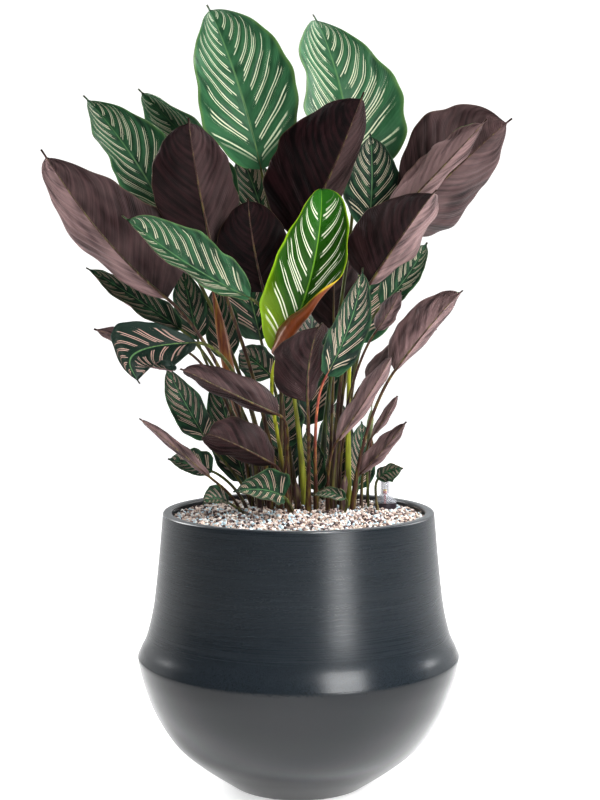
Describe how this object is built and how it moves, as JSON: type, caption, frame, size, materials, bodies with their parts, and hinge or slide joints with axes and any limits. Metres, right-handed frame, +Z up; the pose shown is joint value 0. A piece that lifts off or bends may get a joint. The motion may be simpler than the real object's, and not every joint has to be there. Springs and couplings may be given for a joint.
{
  "type": "potted calathea",
  "caption": "Calathea with pinstriped green leaves, purple below, in a round-bellied planter topped with gravel, with a float gauge for the water level.",
  "frame": {"origin": "centre of the pot's underside, on the surface that it stands on", "axes": "+Z up; the side that the picture shows faces -Y, with +X to its right"},
  "size_m": [0.5617, 0.4643, 0.9785],
  "materials": {
    "pot": "satin",
    "soil": "matte",
    "gravel": "matte",
    "gauge_sleeve": "satin",
    "gauge_cap": "gloss",
    "gauge_float": "satin",
    "leaf_green": "satin",
    "leaf_purple": "satin",
    "leaf_new": "satin",
    "shoot": "satin"
  },
  "bodies": {
    "planter": {"pot": "pot", "soil": "soil", "gravel": "gravel", "gauge_sleeve": "gauge_sleeve", "gauge_cap": "gauge_cap", "leaf_01": "leaf_green", "leaf_02": "leaf_green", "leaf_03": "leaf_green", "leaf_04": "leaf_green", "leaf_05": "leaf_green", "leaf_06": "leaf_green", "leaf_07": "leaf_new", "leaf_08": "leaf_green", "leaf_09": "leaf_green", "leaf_10": "leaf_green", "leaf_11": "leaf_green", "leaf_12": "leaf_green", "leaf_13": "leaf_green", "leaf_14": "leaf_green", "leaf_15": "leaf_green", "leaf_16": "leaf_green", "leaf_17": "leaf_green", "leaf_18": "leaf_green", "leaf_19": "leaf_green", "leaf_20": "leaf_green", "leaf_21": "leaf_green", "leaf_22": "leaf_green", "leaf_23": "leaf_purple", "leaf_24": "leaf_purple", "leaf_25": "leaf_purple", "leaf_26": "leaf_purple", "leaf_27": "leaf_purple", "leaf_28": "leaf_purple", "leaf_29": "leaf_purple", "leaf_30": "leaf_purple", "leaf_31": "leaf_purple", "leaf_32": "leaf_purple", "leaf_33": "leaf_purple", "leaf_34": "leaf_purple", "leaf_35": "leaf_purple", "leaf_36": "leaf_purple", "leaf_37": "leaf_purple", "leaf_38": "leaf_purple", "leaf_39": "leaf_purple", "leaf_40": "leaf_green", "leaf_41": "leaf_purple", "leaf_42": "leaf_purple", "leaf_43": "leaf_green", "leaf_44": "leaf_green", "leaf_45": "leaf_green", "leaf_46": "leaf_green", "leaf_47": "leaf_green", "leaf_48": "leaf_green", "leaf_49": "leaf_green", "spear_tall": "shoot", "spear_slim": "shoot", "spear_pale": "shoot", "sheath_front": "shoot", "sheath_right": "shoot"},
    "float": {"gauge_float": "gauge_float"}
  },
  "joints": [
    {"name": "float_rise", "type": "slide", "parent": "planter", "child": "float", "axis": [0, 0, 1], "range_m": [0, 0.02]}
  ]
}
